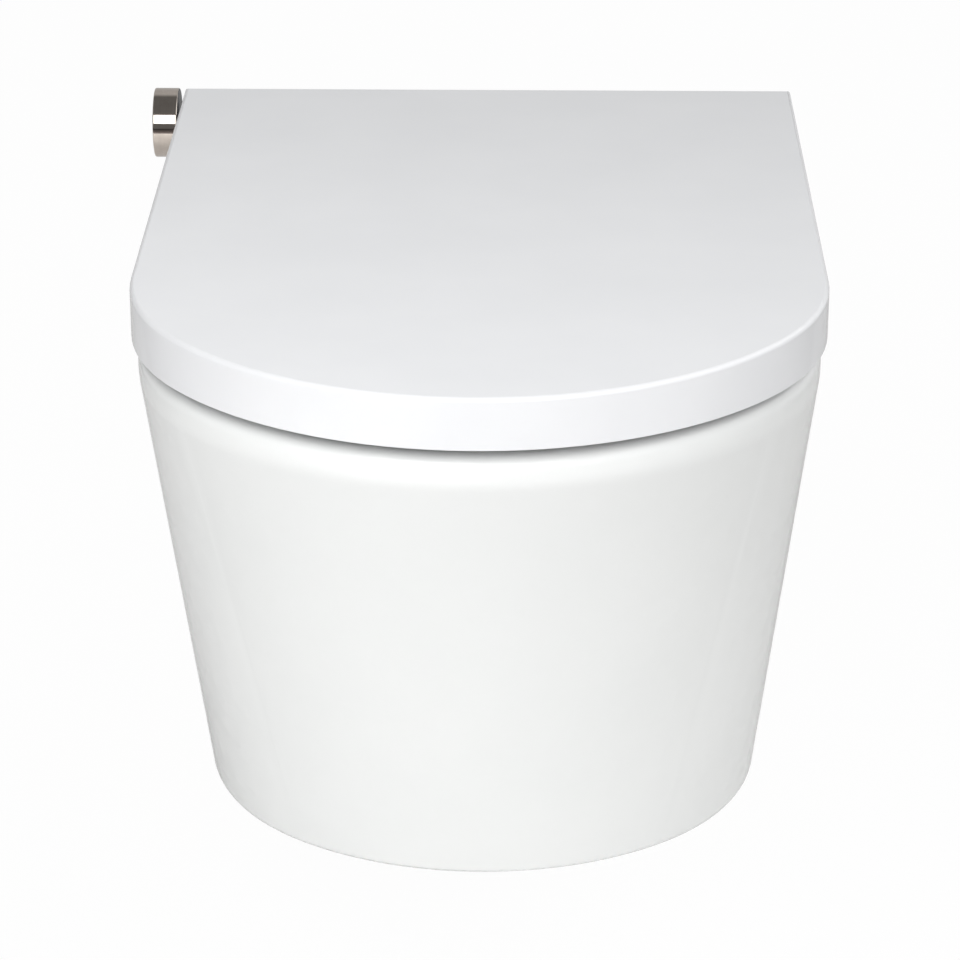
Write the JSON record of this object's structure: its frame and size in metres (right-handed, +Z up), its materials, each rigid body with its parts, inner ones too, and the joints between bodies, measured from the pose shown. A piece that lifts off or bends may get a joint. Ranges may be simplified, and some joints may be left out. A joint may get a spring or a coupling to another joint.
{
  "type": "bidet toilet",
  "caption": "Wall-hung bidet toilet: tapered glazed bowl under a flat D-shaped lid and seat, with a retractable spray nozzle and a side control knob.",
  "frame": {"origin": "midway between the two wall bolts, on the wall face", "axes": "+Y into the wall, along the wall bolts; +Z up; +X to the right of someone who faces the toilet"},
  "size_m": [0.3821, 0.5559, 0.357],
  "materials": {
    "ceramic": "white glaze, high gloss",
    "lid_plastic": "white, polished",
    "seat_plastic": "white, polished",
    "cover_plastic": "white, satin",
    "unit_plastic": "light grey, moulded",
    "nozzle_plastic": "white, smooth",
    "gear_plastic": "natural, moulded",
    "knob_steel": "brushed around its axis",
    "collar_chrome": "plated",
    "steel": "plain",
    "post_metal": "white powder coat",
    "motor_metal": "drawn can",
    "heater_aluminium": "die-cast",
    "fitting_brass": "turned",
    "valve_plastic": "black, moulded",
    "board_green": "solder resist",
    "board_dark": "black, moulded",
    "rubber": "black, matte",
    "buffer_rubber": "white, matte",
    "sleeve_plastic": "white, moulded",
    "lead_plastic": "dark grey sheath"
  },
  "bodies": {
    "root": {"ceramic_skirt": "ceramic", "ceramic_bowl": "ceramic", "ceramic_trap": "ceramic", "rear_cover": "cover_plastic", "console_cover": "cover_plastic", "unit_base": "unit_plastic", "nozzle_guide": "unit_plastic", "push_switch": "unit_plastic", "feed_tube": "nozzle_plastic", "knob_collar": "collar_chrome", "collar_nut": "steel", "unit_bolts": "steel", "unit_nuts": "steel", "post_nuts": "steel", "post_washers": "steel", "hinge_post_left": "post_metal", "hinge_post_right": "post_metal", "drive_motor": "motor_metal", "water_heater": "heater_aluminium", "water_inlet": "fitting_brass", "solenoid_valve": "valve_plastic", "power_supply": "valve_plastic", "encoder_body": "valve_plastic", "cable_gland": "valve_plastic", "control_board": "board_green", "board_parts": "board_dark", "switch_dome": "rubber", "unit_washers": "rubber", "warm_hose": "rubber", "cold_hose": "rubber", "wall_sleeves": "sleeve_plastic", "mains_lead": "lead_plastic", "supply_lead": "lead_plastic", "switch_lead": "lead_plastic", "heater_lead": "lead_plastic", "valve_lead": "lead_plastic", "motor_lead": "lead_plastic"},
    "seat": {"seat_ring": "seat_plastic", "seat_buffers": "buffer_rubber", "hinge_pin_left": "steel", "hinge_pin_right": "steel"},
    "lid": {"lid": "lid_plastic", "lid_buffers": "buffer_rubber"},
    "spray": {"spray_arm": "nozzle_plastic", "nozzle_tip": "nozzle_plastic", "arm_seal": "rubber"},
    "pinion": {"drive_pinion": "gear_plastic"},
    "rotor": {"encoder_rotor": "gear_plastic"},
    "knob": {"knob_spindle": "steel", "control_knob": "knob_steel"}
  },
  "joints": [
    {"name": "seat_hinge", "type": "hinge", "parent": "root", "child": "seat", "pos_m": [0, -0.085, 0.114], "axis": [-1, 0, 0], "range_deg": [0, 92]},
    {"name": "lid_hinge", "type": "hinge", "parent": "seat", "child": "lid", "pos_m": [0, -0.085, 0.114], "axis": [1, 0, 0], "range_deg": [-96, 0]},
    {"name": "spray_arm_slide", "type": "slide", "parent": "root", "child": "spray", "axis": [0, -0.9848, -0.1736], "range_m": [0, 0.09]},
    {"name": "pinion_turn", "type": "hinge", "parent": "root", "child": "pinion", "pos_m": [0.019, -0.16561, 0.05495], "axis": [0, -0.1736, 0.9848], "range_deg": [0, 660]},
    {"name": "knob_turn", "type": "hinge", "parent": "root", "child": "rotor", "pos_m": [-0.16, -0.04, 0.0937], "axis": [1, 0, 0], "continuous": true},
    {"name": "knob_push", "type": "slide", "parent": "rotor", "child": "knob", "axis": [1, 0, 0], "range_m": [0, 0.002], "stiffness_N_per_m": 1500, "springref_m": -0.001, "deforming": ["switch_dome"]}
  ],
  "couplings": [
    {"joint": "pinion_turn", "follows": "spray_arm_slide", "rad_per_m": 125}
  ]
}
